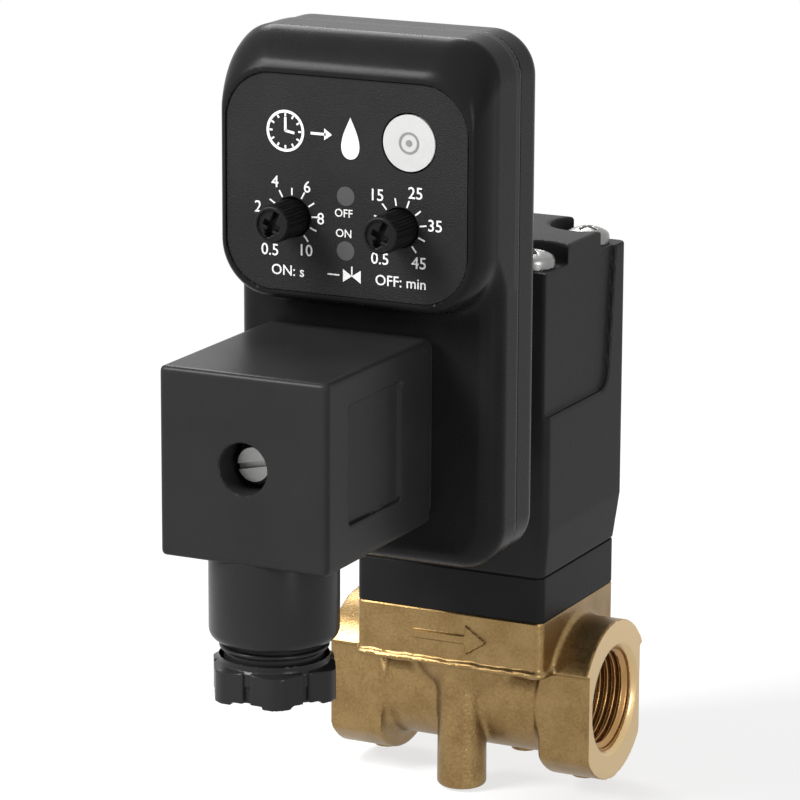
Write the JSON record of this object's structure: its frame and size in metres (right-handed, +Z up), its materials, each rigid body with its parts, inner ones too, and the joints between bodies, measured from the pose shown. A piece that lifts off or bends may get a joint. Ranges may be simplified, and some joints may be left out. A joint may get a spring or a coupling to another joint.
{
  "type": "automatic drain valve",
  "caption": "Timed automatic drain valve: threaded brass diaphragm valve body with solenoid, front timer with set knobs and a plug-in cable connector with gland.",
  "frame": {"origin": "on the inlet port's axis where its thread begins, 1.8 mm inside the mouth", "axes": "+X runs with the flow from inlet to outlet, +Z is up through the solenoid, the timer's panel faces -Y"},
  "size_m": [0.047, 0.0965, 0.1309],
  "materials": {
    "brass": "cast and tumbled brass, satin, slightly rough",
    "brass_turned": "turned brass, bright satin",
    "rubber_black": "moulded black rubber",
    "rubber_red": "moulded red seal rubber",
    "steel_spring": "drawn spring wire",
    "plastic_flange": "satin black glass-filled plastic, dark",
    "stainless": "turned stainless steel",
    "plastic_bobbin": "moulded bobbin plastic",
    "copper_winding": "enamelled copper wire, tightly wound",
    "steel_zinc": "zinc-plated pressed steel",
    "plastic_housing": "satin black moulded plastic, fine grain",
    "screw_zinc": "bright zinc-plated steel",
    "tinned_brass": "tinned contact brass",
    "plastic_timer": "semi-gloss black plastic, very fine grain",
    "plastic_insert": "moulded black contact carrier",
    "label_black": "grained black printed label",
    "plastic_knob": "knurled black plastic",
    "plastic_component": "moulded electronic component bodies",
    "plastic_white": "matt white plastic",
    "lamp_lens": "smoked lamp lens",
    "board_green": "green solder-masked board",
    "plastic_plug": "satin black moulded plastic"
  },
  "bodies": {
    "valve": {"valve_body": "brass", "diaphragm": "rubber_black", "diaphragm_spring": "steel_spring", "cover_flange": "plastic_flange", "armature_tube": "stainless", "fixed_core": "stainless", "plunger_spring": "steel_spring", "bobbin": "plastic_bobbin", "coil_winding": "copper_winding", "yoke_frame": "steel_zinc", "coil_housing": "plastic_housing", "housing_screws": "screw_zinc", "coil_terminals": "tinned_brass", "rear_gasket": "rubber_black", "timer_back_shell": "plastic_timer", "socket_insert": "plastic_insert", "socket_contacts": "tinned_brass", "timer_front_cover": "plastic_timer", "timer_label": "label_black", "potentiometers": "plastic_component", "test_switch": "plastic_component", "off_lamp": "lamp_lens", "on_lamp": "lamp_lens", "circuit_board": "board_green", "board_components": "plastic_component", "plug_pins": "tinned_brass", "plug_gasket": "rubber_black", "plug_housing": "plastic_plug", "plug_neck": "plastic_plug", "terminal_insert": "plastic_insert", "terminal_clamps": "tinned_brass", "plug_screw": "screw_zinc", "screw_washer": "rubber_black", "gland_seal": "rubber_black"},
    "plunger": {"plunger": "stainless", "plunger_seal": "rubber_red"},
    "diaphragm_core": {"diaphragm_core": "brass_turned"},
    "on_time_knob": {"on_time_knob": "plastic_knob"},
    "off_time_knob": {"off_time_knob": "plastic_knob"},
    "test_button": {"test_button": "plastic_white"},
    "gland_ring": {"gland_ring": "plastic_insert"},
    "gland_nut": {"gland_nut": "plastic_plug"}
  },
  "joints": [
    {"name": "plunger_lift", "type": "slide", "parent": "valve", "child": "plunger", "axis": [0, 0, 1], "range_m": [0, 0.0024], "stiffness_N_per_m": 400, "springref_m": -0.004, "deforming": ["plunger_spring"]},
    {"name": "diaphragm_lift", "type": "slide", "parent": "valve", "child": "diaphragm_core", "axis": [0, 0, 1], "range_m": [0, 0.00192], "stiffness_N_per_m": 200, "springref_m": -0.002, "deforming": ["diaphragm_spring", "diaphragm"]},
    {"name": "on_time_turn", "type": "hinge", "parent": "valve", "child": "on_time_knob", "pos_m": [0.01257, -0.0519, 0.0868], "axis": [0, 1, 0], "range_deg": [0, 270]},
    {"name": "off_time_turn", "type": "hinge", "parent": "valve", "child": "off_time_knob", "pos_m": [0.03078, -0.0519, 0.0868], "axis": [0, 1, 0], "range_deg": [0, 270]},
    {"name": "test_press", "type": "slide", "parent": "valve", "child": "test_button", "axis": [0, 1, 0], "range_m": [0, 0.0005], "stiffness_N_per_m": 1200, "springref_m": -0.0005},
    {"name": "gland_travel", "type": "slide", "parent": "valve", "child": "gland_ring", "axis": [0, 0, 1], "range_m": [-0.003, 0.00075], "deforming": ["gland_seal"]},
    {"name": "gland_turn", "type": "hinge", "parent": "gland_ring", "child": "gland_nut", "pos_m": [0.01947, -0.0711, 0.02], "axis": [0, 0, 1], "range_deg": [-720, 180]}
  ],
  "couplings": [
    {"joint": "diaphragm_lift", "follows": "plunger_lift", "ratio": 0.8},
    {"joint": "gland_turn", "follows": "gland_travel", "rad_per_m": 4188.8}
  ]
}
